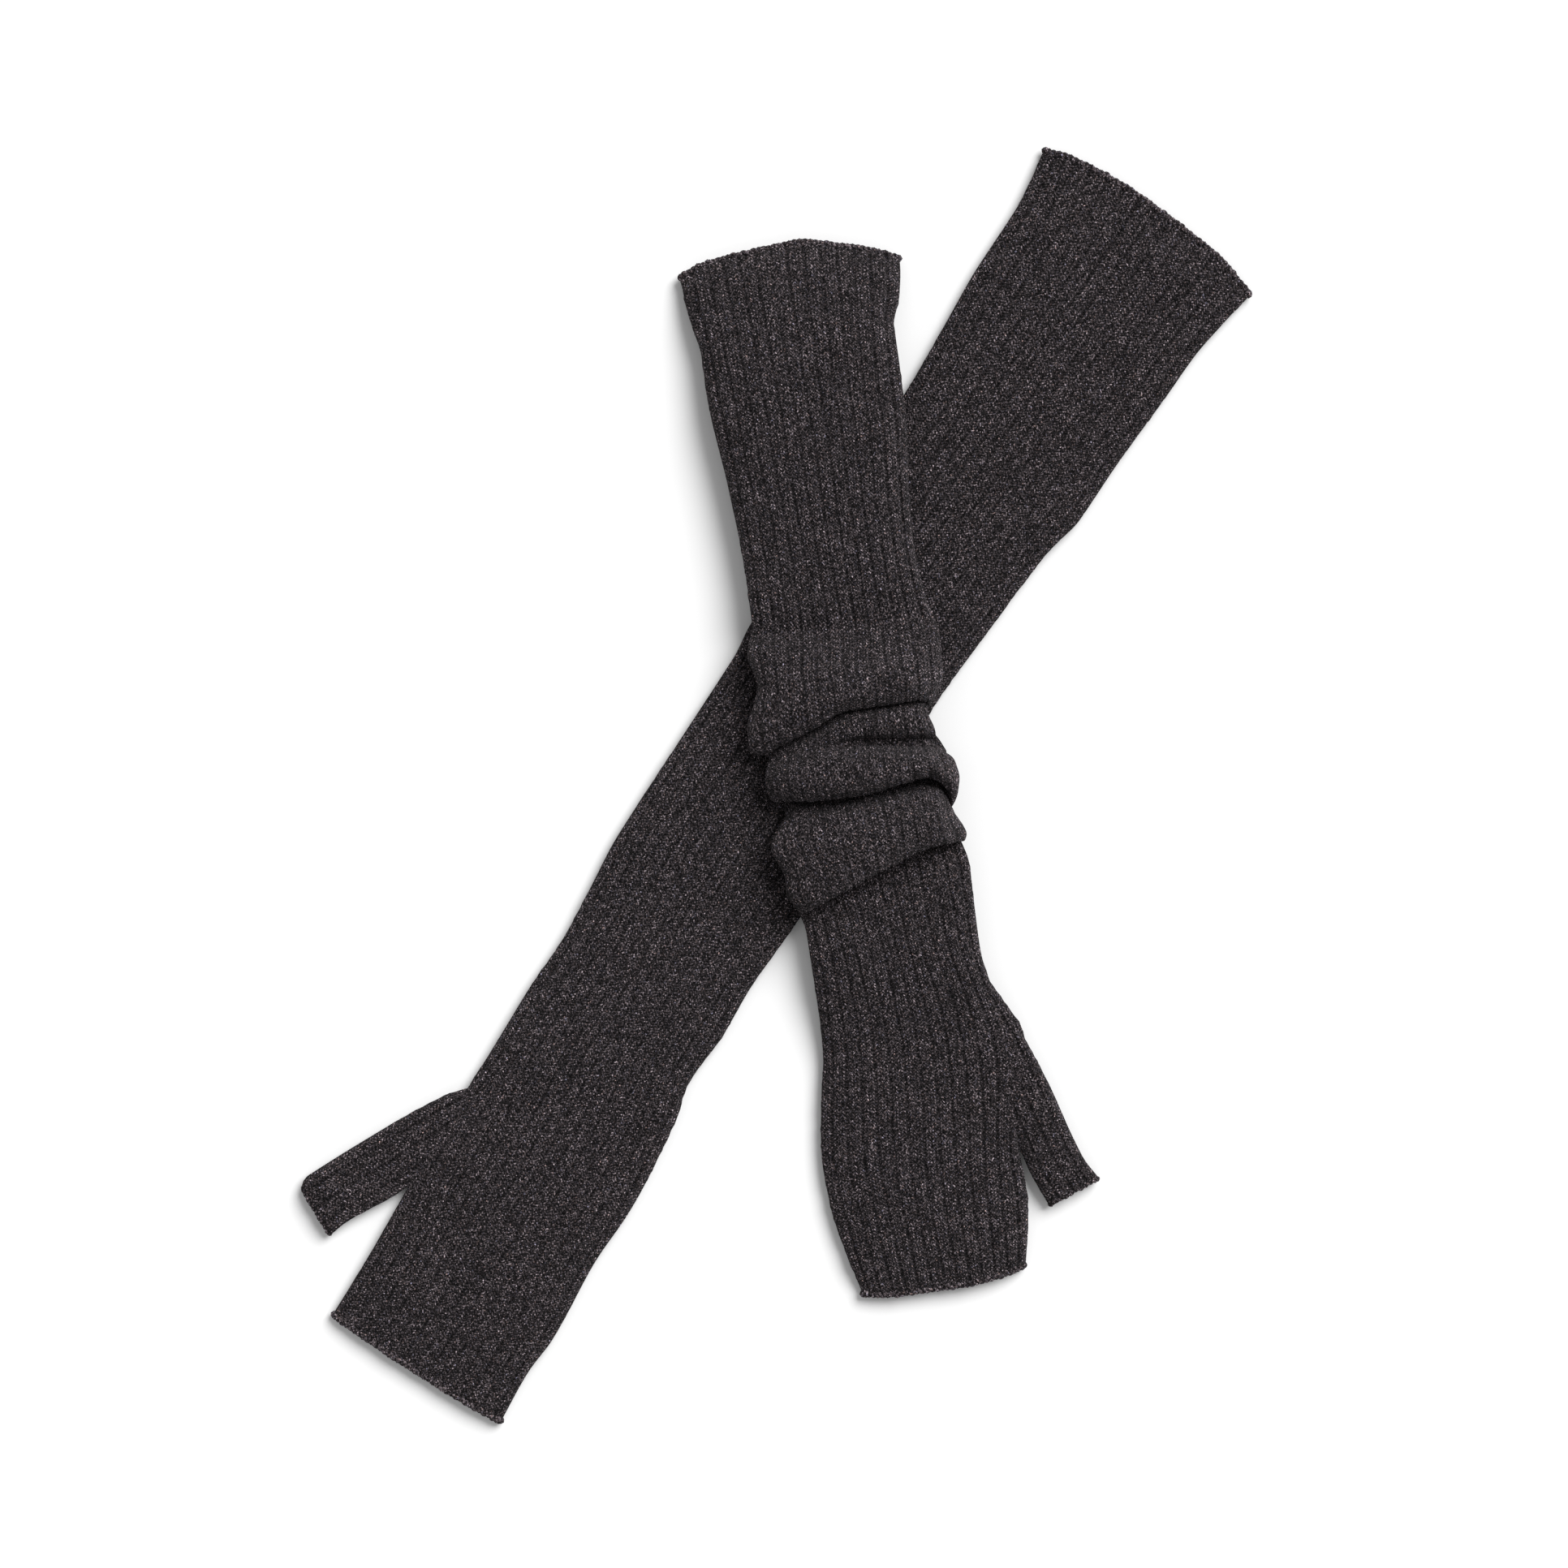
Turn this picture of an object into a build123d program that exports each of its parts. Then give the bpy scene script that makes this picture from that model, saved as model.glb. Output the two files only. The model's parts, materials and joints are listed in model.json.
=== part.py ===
from build123d import *
from math import cos, radians, sin
import os

# A pair of long rib-knit fingerless gloves. The lower glove lies flat and aslant; the upper glove lies
# across it with its sleeve pushed down into three folds. Millimetres, +Z up, origin on the floor under
# the middle of the pair. "Along" runs from a glove's arm opening to its hand, "across" to its thumb side.

# ---- Driving dimensions -------------------------------------------------------------------------
WALL = 1.8  # one layer of rib knit
EDGE = 2.5  # length of each bound-off edge
SEAM = 1.6  # length of the joining row at the foot of each thumb
LOWER_THICK = 8.0  # lower glove lying flat: two layers and the air between them
UPPER_THICK = 11.0  # upper glove's hand, which lies looser
LAY = 8.3  # height of the upper glove's underside where it lies over the lower glove
SWING_GAP = 0.5  # room between a thumb's round foot and the palm
SPLAY = 0.14  # how fast the cut between thumb and hand leans away from the thumb's axis
PLAY = 40.0  # how far the shapes that trim a piece reach past it
FLAT_EDGE = 0.1  # what the rounding of a hand's long edges leaves flat on each face's side

# Middle of each glove's arm opening and hand opening, and the way to its thumb seen from the arm
LOWER_ARM, LOWER_HAND, LOWER_THUMB_WAY = (157.3, 240.5), (-153.2, -246.6), -1
UPPER_ARM, UPPER_HAND, UPPER_THUMB_WAY = (4.7, 224.1), (70.6, -208.6), 1

# Sleeve profiles: along, across (of the middle), width, height of the underside, thickness, slant in degrees
LOWER_SLEEVE = (
    (0, 0.0, 107, 0, LOWER_THICK, 0),
    (30, 1.0, 99, 0, LOWER_THICK, 0),
    (60, 2.0, 96, 0, LOWER_THICK, 0),
    (140, 4.6, 88, 0, LOWER_THICK, 0),
    (200, 7.1, 84, 0, LOWER_THICK, 0),
    (330, 7.7, 83, 0, LOWER_THICK, 0),
    (390, 6.3, 79, 0, LOWER_THICK, 0),
    (450, 3.9, 83, 0, LOWER_THICK, 0),
)
UPPER_SLEEVE = (
    (0, 0.0, 93, 0, 13, 0),
    (50, -1.6, 81, LAY, 13, 0),
    (130, -2.2, 72, LAY, 14, 0),
    (152, -1.5, 74, LAY, 15, 2),
    (174, -2.0, 81, LAY, 25, 6),
    (188, -4.5, 79, LAY, 27, 6),
    (200, -6.5, 72, LAY, 18, 4),
    (213, -5.0, 78, LAY, 27, 0),
    (228, -3.0, 72, LAY, 17, 4),
    (244, -3.5, 83, LAY, 26, 10),
    (256, -3.0, 79, LAY, 22, 14),
    (266, -1.5, 73, LAY, 13, 14),
    (292, -0.5, 71, LAY, 12, 0),
    (340, 6.0, 84, 0, UPPER_THICK, 0),
)

# Where each sleeve is parted into its sections, along the glove
LOWER_SECTIONS = {"lower_sleeve_top": (EDGE, 140), "lower_sleeve_middle": (140, 270),
                  "lower_forearm": (270, 410), "lower_wrist": (410, 450)}
UPPER_SECTIONS = {"upper_sleeve_top": (EDGE, 75), "upper_sleeve_middle": (75, 152),
                  "upper_fold_a": (152, 200), "upper_fold_b": (200, 228), "upper_fold_c": (228, 266),
                  "upper_forearm": (266, 298), "upper_wrist": (298, 340)}

# Hand outlines, (along, across), from the little finger side of the wrist round to the thumb side
LOWER_OUTLINE = ((450, -37.6), (476, -40.1), (521, -41.3), (578, -41.9), (578, 42.1),
                 (520.9, 43.9), (548.6, 60.3), (540.7, 83.3), (465, 46.6), (450, 45.4))
LOWER_CROTCH, LOWER_THUMB_TIP = (520.9, 43.9), (544.6, 71.8)
UPPER_OUTLINE = ((340, -36.0), (384, -43.5), (418, -40.0), (438, -35.0), (438, 34.6), (421, 38.4),
                 (386.9, 39.4), (412.9, 48.0), (406.9, 72.3), (340, 48.0))
UPPER_CROTCH, UPPER_THUMB_TIP = (386.9, 39.4), (409.9, 60.2)


class Glove:
    """Directions and places of one glove."""

    def __init__(self, arm, hand, thumb_way):
        self.start = Vector(*arm, 0)
        self.along = (Vector(*hand, 0) - self.start).normalized()
        self.across = Vector(0, 0, thumb_way).cross(self.along)

    def place(self, along, across, height=0):
        """The point at a distance along the glove, to the thumb side of its axis and above the floor."""
        return self.start + self.along * along + self.across * across + Vector(0, 0, height)

    def ring(self, along, across, height, slant=0):
        """Plane across the glove. A slant brings its thumb side nearer to the arm opening."""
        ahead, aside = cos(radians(slant)), sin(radians(slant))
        x_dir = self.across * ahead - self.along * aside
        z_dir = self.along * ahead + self.across * aside
        return Plane(origin=self.place(along, across, height), x_dir=x_dir, z_dir=z_dir)

    def outline(self, points):
        """Points of a plan outline, on the floor."""
        return [self.place(along, across) for along, across in points]


LOWER = Glove(LOWER_ARM, LOWER_HAND, LOWER_THUMB_WAY)
UPPER = Glove(UPPER_ARM, UPPER_HAND, UPPER_THUMB_WAY)


def station(profile, along):
    """The sleeve's values at a distance along it, in proportion between the two nearest given ones."""
    for before, after in zip(profile, profile[1:]):
        if before[0] <= along <= after[0]:
            share = (along - before[0]) / (after[0] - before[0])
            return tuple(a + (b - a) * share for a, b in zip(before, after))
    raise ValueError(f"{along} mm is past the end of the sleeve")


def keep(piece, name):
    """Names a finished piece and writes its file."""
    piece.label = name
    export_step(piece, f"parts/{name}.step")


def sleeve_tube(glove, profile, start, end):
    """Open tube of one knit layer, from one distance along the sleeve to another."""
    inner = [row for row in profile if start < row[0] < end]
    rows = [station(profile, start), *inner, station(profile, end)]
    with BuildPart() as tube:
        for taken_off, how in ((0, Mode.ADD), (2 * WALL, Mode.SUBTRACT)):
            for along, across, width, base, thick, slant in rows:
                with BuildSketch(glove.ring(along, across, base + thick / 2, slant)):
                    SlotOverall(width - taken_off, thick - taken_off)
            loft(ruled=True, mode=how)
    return tube.part


class Hand:
    """One glove's hand: a hollow flat shape with a wrist end, a finger opening and a thumb tube."""

    def __init__(self, glove, outline, crotch, thumb_tip, finger_corners, thumb_corners, thick):
        self.glove = glove
        self.outline = outline
        self.thick = thick
        self.crotch = Vector(*crotch)
        self.wrist = outline[0][0]
        self.fingers = outline[finger_corners[0]][0]
        outer, root = (Vector(*outline[n]) for n in (thumb_corners[1], thumb_corners[1] + 1))
        self.out = (outer - root).normalized()
        self.side = Vector(-self.out.Y, self.out.X)
        self.half_foot = self.side.dot(root - self.crotch) / 2
        self.pivot = self.crotch + self.side * self.half_foot
        self.thumb_length = self.out.dot(Vector(*thumb_tip) - self.pivot)
        self.open_ends = {n: (1, 0) for n in finger_corners}
        self.open_ends.update({n: (self.out.X, self.out.Y) for n in thumb_corners})

    def plan(self):
        """The outline with its open ends pushed well out, so that each piece can be cut from it."""
        reach = 2 * self.thick
        points = [(self.wrist - reach, self.outline[0][1])]
        for n, (along, across) in enumerate(self.outline):
            way = self.open_ends.get(n, (0, 0))
            points.append((along + way[0] * reach, across + way[1] * reach))
        points.append((self.wrist - reach, self.outline[-1][1]))
        return self.glove.outline(points)

    def blank(self):
        """The whole hand and thumb as one hollow shape, its long edges rounded."""
        with BuildPart() as solid:
            with BuildSketch() as flat:
                with BuildLine():
                    Polyline(self.plan(), close=True)
                make_face()
            extrude(amount=self.thick)
            fillet(solid.faces().filter_by(Axis.Z).edges(), self.thick / 2 - FLAT_EDGE)
            with BuildSketch(Plane.XY.offset(WALL)):
                add(flat.sketch)
                offset(amount=-WALL, kind=Kind.INTERSECTION, mode=Mode.REPLACE)
            extrude(amount=self.thick - 2 * WALL, mode=Mode.SUBTRACT)
        return solid.part

    def thumb_point(self, out, side):
        """A point of the plan, out from the thumb's pivot along the thumb, and to its outer side."""
        place = self.pivot + self.out * out + self.side * side
        return self.glove.place(place.X, place.Y)

    def slab(self, start, end):
        """Everything between two distances along the glove."""
        wide = 3 * PLAY
        corners = ((start, -wide), (end, -wide), (end, wide), (start, wide))
        with BuildPart() as block:
            with BuildSketch():
                with BuildLine():
                    Polyline(self.glove.outline(corners), close=True)
                make_face()
            extrude(amount=self.thick)
        return block.part

    def thumb_zone(self, start, end, gap=0.0):
        """The thumb's room in plan, from one distance out from its pivot to another."""
        with BuildPart() as zone:
            with BuildSketch():
                with BuildLine():
                    Polyline(
                        self.thumb_point(start, -self.half_foot - gap - SPLAY * start),
                        self.thumb_point(end, -self.half_foot - gap - SPLAY * end),
                        self.thumb_point(end, PLAY),
                        self.thumb_point(start, PLAY),
                        close=True,
                    )
                make_face()
            extrude(amount=self.thick)
        return zone.part

    def foot_disc(self, gap=0.0):
        """Round room about the thumb's pivot."""
        with BuildPart() as disc:
            with BuildSketch():
                with Locations(self.thumb_point(0, 0)):
                    Circle(self.half_foot + gap)
            extrude(amount=self.thick)
        return disc.part

    def band(self, start, end):
        """A length of the hand, cut clear of the thumb and its round foot."""
        with BuildPart() as piece:
            add(self.blank())
            add(self.slab(start, end), mode=Mode.INTERSECT)
            add(self.thumb_zone(0, 2 * PLAY, SWING_GAP), mode=Mode.SUBTRACT)
            add(self.foot_disc(SWING_GAP), mode=Mode.SUBTRACT)
        return piece.part

    def thumb_foot(self):
        """The thumb's gusset end: the half disc behind its joining row, in which it turns."""
        with BuildPart() as piece:
            add(self.blank())
            add(self.foot_disc(), mode=Mode.INTERSECT)
            add(self.thumb_zone(0, PLAY, PLAY), mode=Mode.SUBTRACT)
        return piece.part

    def thumb(self, start, end):
        """A length of the thumb tube."""
        with BuildPart() as piece:
            add(self.blank())
            add(self.thumb_zone(start, end), mode=Mode.INTERSECT)
        return piece.part


LOWER_HAND_SHAPE = Hand(LOWER, LOWER_OUTLINE, LOWER_CROTCH, LOWER_THUMB_TIP, (3, 4), (6, 7), LOWER_THICK)
UPPER_HAND_SHAPE = Hand(UPPER, UPPER_OUTLINE, UPPER_CROTCH, UPPER_THUMB_TIP, (3, 4), (7, 8), UPPER_THICK)

os.makedirs("parts", exist_ok=True)

for name, glove, profile in (("lower", LOWER, LOWER_SLEEVE), ("upper", UPPER, UPPER_SLEEVE)):
    keep(sleeve_tube(glove, profile, 0, EDGE), f"{name}_arm_edge")

for name, (start, end) in LOWER_SECTIONS.items():
    keep(sleeve_tube(LOWER, LOWER_SLEEVE, start, end), name)

for name, (start, end) in UPPER_SECTIONS.items():
    keep(sleeve_tube(UPPER, UPPER_SLEEVE, start, end), name)

for name, hand in (("lower", LOWER_HAND_SHAPE), ("upper", UPPER_HAND_SHAPE)):
    keep(hand.band(hand.wrist, hand.crotch.X), f"{name}_palm")
    keep(hand.band(hand.crotch.X, hand.fingers - EDGE), f"{name}_hand_cuff")
    keep(hand.band(hand.fingers - EDGE, hand.fingers), f"{name}_hand_edge")
    keep(hand.thumb_foot(), f"{name}_thumb_gusset")
    keep(hand.thumb(0, SEAM), f"{name}_thumb_seam")
    keep(hand.thumb(SEAM, hand.thumb_length - EDGE), f"{name}_thumb")
    keep(hand.thumb(hand.thumb_length - EDGE, hand.thumb_length), f"{name}_thumb_edge")
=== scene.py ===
"""A pair of long rib-knit fingerless gloves, lying crossed on a pale floor. Lengths are millimetres until
they become Blender points. Each glove has its own axes: along runs from arm opening to finger opening,
across runs towards the thumb."""

import json
import math

import bpy
import numpy as np
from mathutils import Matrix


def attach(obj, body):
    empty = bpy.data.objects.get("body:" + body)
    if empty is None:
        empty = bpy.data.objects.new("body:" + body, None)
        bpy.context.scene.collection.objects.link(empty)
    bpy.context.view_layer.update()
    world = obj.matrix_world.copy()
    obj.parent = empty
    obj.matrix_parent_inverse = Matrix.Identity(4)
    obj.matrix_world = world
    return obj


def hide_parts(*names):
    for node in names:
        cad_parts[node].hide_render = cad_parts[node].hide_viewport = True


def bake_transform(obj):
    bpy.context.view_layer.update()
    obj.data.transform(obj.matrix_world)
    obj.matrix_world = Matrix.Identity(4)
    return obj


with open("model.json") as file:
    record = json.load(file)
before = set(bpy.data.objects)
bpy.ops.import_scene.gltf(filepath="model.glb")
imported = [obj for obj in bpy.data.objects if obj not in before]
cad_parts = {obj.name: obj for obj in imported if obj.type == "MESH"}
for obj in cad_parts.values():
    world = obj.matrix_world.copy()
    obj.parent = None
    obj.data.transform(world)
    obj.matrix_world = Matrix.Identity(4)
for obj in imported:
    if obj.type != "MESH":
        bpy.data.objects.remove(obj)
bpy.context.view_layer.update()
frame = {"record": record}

MM = 0.001
MOUNTS = {m["name"]: m for m in frame["record"]["mounts"]}
JOINTS = {j["name"]: j for j in frame["record"]["behaviour"]["joints"]}

# The knit: 2x2 rib, 28 ribs round a glove and 8 round a thumb.
BODY_RIBS, THUMB_RIBS = 28, 8
RIB_COLUMNS = 10  # mesh columns in one rib
ROW = 2.35  # mesh rows, along the tube
COURSE = 1.45  # one row of stitches
RIB_WIDTH = 6.3  # as the knit's unevenness counts it, on gloves and thumbs alike
GROOVE = 0.78  # how far the purl columns sink between the ribs
GROOVE_UNEVEN = 0.25  # the share by which a groove's depth comes and goes
GROOVE_HALF = 0.19  # from a groove's middle to the face of the wales, as a share of a rib
WALE_GAP = 0.14  # depth of the dip between a rib's two wales, as a share of the groove's
WALE_GAP_HALF = 0.07  # half its width, as a share of a rib
PUCKER = 0.3  # height of the small puckers in the fabric's face
WALL = 1.7  # the fabric
LAY = 8.3  # the upper glove's underside where it lies on the lower glove
INNER_STEP = 6  # outer rows to one inner row
EDGE_SPARE = 0.7  # how far crests stand outside the outline, which runs through crests and grooves alike
CALM = 27  # how far either way the inner ribs average the outline
LOWEST = 0.25  # the lowest that a tube's smooth section lies
OFF_FLOOR = 0.1  # the lowest that the ribs on it lie
FIRST_RIM, LAST_RIM = 0, -1


# ---------------------------------------------------------------- small mathematics
def smooth(x):
    """An S-curve from 0 to 1 as x goes from 0 to 1."""
    x = np.clip(x, 0, 1)
    return x * x * (3 - 2 * x)


def through(points, at):
    """A smooth curve through (x, y) points that never overshoots them, read at the places asked for."""
    x, y = np.array(sorted(points), float).T
    step, rise = np.diff(x), np.diff(y)
    slope = rise / step
    tangent = np.zeros(len(x))
    same = slope[:-1] * slope[1:] > 0
    tangent[1:-1][same] = 2 * slope[:-1][same] * slope[1:][same] / (slope[:-1] + slope[1:])[same]
    tangent[0], tangent[-1] = slope[0], slope[-1]
    at = np.clip(at, x[0], x[-1])
    i = np.clip(np.searchsorted(x, at) - 1, 0, len(step) - 1)
    h, s = step[i], (at - x[i]) / step[i]
    return (
        y[i] * (1 + 2 * s) * (1 - s) ** 2
        + tangent[i] * h * s * (1 - s) ** 2
        + y[i + 1] * s * s * (3 - 2 * s)
        - tangent[i + 1] * h * s * s * (1 - s)
    )


def rounded_path(points, at):
    """A Catmull-Rom curve through a list of points, read at fractional indices."""
    p = np.array(points, float)
    p = np.concatenate([[2 * p[0] - p[1]], p, [2 * p[-1] - p[-2]]])
    i = np.clip(np.floor(at).astype(int), 0, len(points) - 2)
    s = (at - i)[:, None]
    a, b, c, d = p[i], p[i + 1], p[i + 2], p[i + 3]
    return 0.5 * (2 * b + (c - a) * s + (2 * a - 5 * b + 4 * c - d) * s**2 + (3 * b - a - 3 * c + d) * s**3)


class Waves:
    """Smooth seeded unevenness of two coordinates, about -1 to 1."""

    def __init__(self, seed, shortest, longest, count=14):
        rng = np.random.default_rng(seed)
        length = rng.uniform(shortest, longest, count)
        turn = rng.uniform(0, math.tau, count)
        self.wave = math.tau / length * np.array([np.cos(turn), np.sin(turn)])
        self.phase = rng.uniform(0, math.tau, count)

    def __call__(self, a, b):
        total = sum(np.sin(a * i + b * j + p) for i, j, p in zip(*self.wave, self.phase))
        return total / math.sqrt(len(self.phase) * 2)


def flat_loop(columns, slimness, squareness):
    """A flattened tube's section, evenly spaced round it: (side, up), each -1 to 1, starting at the left
    edge and going over the top."""
    angle = math.pi - np.linspace(0, math.tau, 4001)
    side = np.sign(np.cos(angle)) * np.abs(np.cos(angle)) ** (2 / squareness)
    up = np.sin(angle)
    length = np.concatenate([[0], np.cumsum(np.hypot(np.diff(side * slimness), np.diff(up)))])
    at = np.linspace(0, length[-1], columns, endpoint=False)
    return np.interp(at, length, side), np.interp(at, length, up)


def inside_edges(side):
    """1 over the middle of a tube, falling to 0 at its two edges."""
    return 1 - np.abs(side) ** 4


def unit(v):
    """Vectors of length 1."""
    return v / np.maximum(np.linalg.norm(v, axis=-1, keepdims=True), 1e-9)


# ---------------------------------------------------------------- the two gloves' axes and outlines
class Glove:
    """One glove's axes, read from its mounts, and the outline of its body tube as it lies."""

    def __init__(self, name, thumb_way, thumb_side, finger_side, arm_curve, hand_curve):
        self.name = name
        start = np.array(MOUNTS[f"{name}_arm_opening"]["pos_m"][:2]) / MM
        self.start, self.axis = start, -np.array(MOUNTS[f"{name}_arm_opening"]["axis"][:2])
        self.cross = thumb_way * np.array([-self.axis[1], self.axis[0]])
        self.length = (np.array(MOUNTS[f"{name}_hand_opening"]["pos_m"][:2]) / MM - start) @ self.axis
        self.thumb_side, self.finger_side = thumb_side, finger_side
        self.arm_curve, self.hand_curve = arm_curve, hand_curve

    def place(self, along, across, height):
        """World points in metres of points on the glove."""
        flat = self.start + along[..., None] * self.axis + across[..., None] * self.cross
        return np.concatenate([flat, height[..., None]], axis=-1) * MM

    def locate(self, point):
        """(along, across) of a world point."""
        away = np.array(point)[..., :2] / MM - self.start
        return away @ self.axis, away @ self.cross

    def sides(self, along):
        """Half width and middle of the body tube, to the crests of its ribs."""
        thumb, finger = through(self.thumb_side, along), through(self.finger_side, along)
        return (thumb - finger) / 2 + EDGE_SPARE, (thumb + finger) / 2

    def across(self, along, side):
        """Across, at places from -1 to 1 over the tube. The edges take every bump of the outline, and the
        ribs between them run smoother."""
        half, middle = self.sides(along)
        calm = [self.sides(along + step) for step in range(-CALM, CALM + 1, CALM // 3)]
        calm_half, calm_middle = (sum(c[k] for c in calm) / len(calm) for k in (0, 1))
        edge, inside = middle + half * side, calm_middle + calm_half * side
        return inside + (edge - inside) * np.abs(side) ** 4

    def uneven_ends(self, along, side):
        """Stations moved so that the first and last rows follow the openings' curved edges."""
        arm_reach, hand_reach = 70, 60
        from_arm = smooth(1 - along / arm_reach) * through(self.arm_curve, side)
        from_hand = smooth(1 - (self.length - along) / hand_reach) * through(self.hand_curve, side)
        return along + from_arm + from_hand


LOWER = Glove(
    "lower",
    thumb_way=-1,
    thumb_side=[(-3, 53.4), (27, 49.8), (56, 50.3), (83, 48.9), (119, 47.4), (235, 50.1), (251, 48.5)]
    + [(292, 48.9), (339, 49.4), (372, 46.7), (394, 45.3), (415, 46.2), (451, 45.5), (470, 45.6)]
    + [(521, 43.9), (555, 42.4), (578, 42.1)],
    finger_side=[(2, -53.3), (20, -49.9), (38, -47.2), (59, -46.2), (98, -44), (122, -43.5), (142, -39.3)]
    + [(184, -36), (223, -33.8), (329, -34), (365, -32.3), (389, -33.3), (412, -31.8), (432, -36.2)]
    + [(476, -40.1), (497, -39.2), (537, -41.7), (554, -40.4), (578, -41.9)],
    arm_curve=[(-1, 3), (-0.6, -3.5), (-0.2, -5.5), (0.25, -7), (0.75, -5.2), (1, -2)],
    hand_curve=[(-1, 0), (-0.4, 1.2), (0.4, 1.0), (1, 0)],
)
UPPER = Glove(
    "upper",
    thumb_way=1,
    thumb_side=[(-7, 46.5), (8, 46.2), (24, 43.4), (34, 39.5), (65, 38.9), (76, 38.4), (103, 35.2)]
    + [(131, 33.5), (152, 35.5), (166, 38.5), (185, 37.3), (193, 32.6), (198, 28.5), (207, 31.2)]
    + [(214, 34.6), (228, 37.8), (242, 34.2), (253, 37.4), (277, 36.2), (300, 35.6), (313, 37.1)]
    + [(327, 43.6), (337, 48.4), (345, 49.4), (355, 47.6), (370, 42.5), (387, 39.4), (407, 40.2)]
    + [(421, 38.4), (438, 34.6)],
    finger_side=[(0, -46.8), (16, -45.7), (35, -42.7), (53, -42.9), (92, -39.8), (127, -38.1)]
    + [(151, -38.4), (164, -42.5), (177, -39.9), (185, -42.9), (195, -47.2), (204, -47.4), (208, -40.5)]
    + [(217, -42.8), (225, -42), (231, -37.7), (238, -40.4), (246, -44.9), (259, -40.8), (266, -41.2)]
    + [(273, -37.7), (284, -35.3), (319, -35.3), (336, -36.2), (353, -39.5), (384, -43.5), (402, -42.7)]
    + [(418, -39.9), (438, -35)],
    arm_curve=[(-1, 0.5), (-0.75, -3.6), (-0.35, -5.5), (0.05, -6.7), (0.5, -2.6), (0.83, 2.4)]
    + [(0.95, 5), (1, 6.6)],
    hand_curve=[(-1, 1.2), (-0.5, 3.4), (0.2, 3.4), (0.7, 1.8), (1, -0.4)],
)


# ---------------------------------------------------------------- knitted tubes
def rib_relief(turn):
    """Height of the fabric's face across one rib, 0 on the knit wales and -1 in the purl column."""
    away = np.abs((turn + 0.5) % 1 - 0.5)
    between_wales = WALE_GAP * np.exp(-(((turn % 1 - 0.5) / WALE_GAP_HALF) ** 2))
    return smooth(away / GROOVE_HALF) - 1 - between_wales


def outward(points):
    """Unit normals of a tube's grid of points, outwards."""
    down = np.gradient(points, axis=0)
    around = np.roll(points, -1, axis=1) - np.roll(points, 1, axis=1)
    normal = unit(np.cross(around, down))
    middle = points.mean(axis=1, keepdims=True)
    return normal * np.sign(np.sum(normal * (points - middle)))


def add_uv(mesh, faces_uv):
    """The map that the stitches are drawn in: u counts ribs, v counts courses."""
    layer = mesh.uv_layers.new(name="Stitches")
    layer.data.foreach_set("uv", np.asarray(faces_uv, np.float32).ravel())


def ring_quads(a, b):
    """The faces between two rings of points."""
    return np.stack([a, np.roll(a, -1), np.roll(b, -1), b], axis=1)


def tube_mesh(name, outer, inner, courses):
    """A closed thin-walled tube of an outer and an inner grid, which share their first and last stations."""
    rows, columns = outer.shape[:2]
    base = rows * columns
    loops = [np.arange(columns) + i * columns for i in range(rows)]
    inner_loops = [np.arange(columns) + base + i * columns for i in range(len(inner))]
    inner_rows = np.linspace(0, rows - 1, len(inner)).round().astype(int)
    bands = [(loops[i], loops[i + 1], courses[i], courses[i + 1]) for i in range(rows - 1)]
    bands += [
        (inner_loops[i + 1], inner_loops[i], courses[inner_rows[i + 1]], courses[inner_rows[i]])
        for i in range(len(inner) - 1)
    ]
    bands += [
        (inner_loops[0], loops[0], courses[0] - 1, courses[0]),
        (loops[-1], inner_loops[-1], courses[-1], courses[-1] + 1),
    ]
    left = np.arange(columns) / RIB_COLUMNS
    right = left + 1 / RIB_COLUMNS
    faces, uv = [], []
    for a, b, low, high in bands:
        faces.append(ring_quads(a, b))
        low, high = np.full(columns, low), np.full(columns, high)
        corners = [(left, low), (right, low), (right, high), (left, high)]
        uv.append(np.stack([np.stack(c, axis=1) for c in corners], axis=1))
    mesh = bpy.data.meshes.new(name)
    points = np.concatenate([outer.reshape(-1, 3), inner.reshape(-1, 3)])
    mesh.from_pydata(points.tolist(), [], np.concatenate(faces).tolist())
    add_uv(mesh, np.concatenate(uv))
    return finish_mesh(name, mesh)


def finish_mesh(name, mesh):
    """An object of a closed mesh, its faces turned outwards."""
    mesh.calc_loop_triangles()
    corners = np.zeros(len(mesh.loop_triangles) * 3, int)
    mesh.loop_triangles.foreach_get("vertices", corners)
    points = np.zeros(len(mesh.vertices) * 3)
    mesh.vertices.foreach_get("co", points)
    a, b, c = points.reshape(-1, 3)[corners.reshape(-1, 3)].transpose(1, 0, 2)
    if np.sum(a * np.cross(b, c)) < 0:
        mesh.flip_normals()
    mesh.shade_smooth()
    piece = bpy.data.objects.new(name, mesh)
    bpy.context.scene.collection.objects.link(piece)
    return piece


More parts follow.
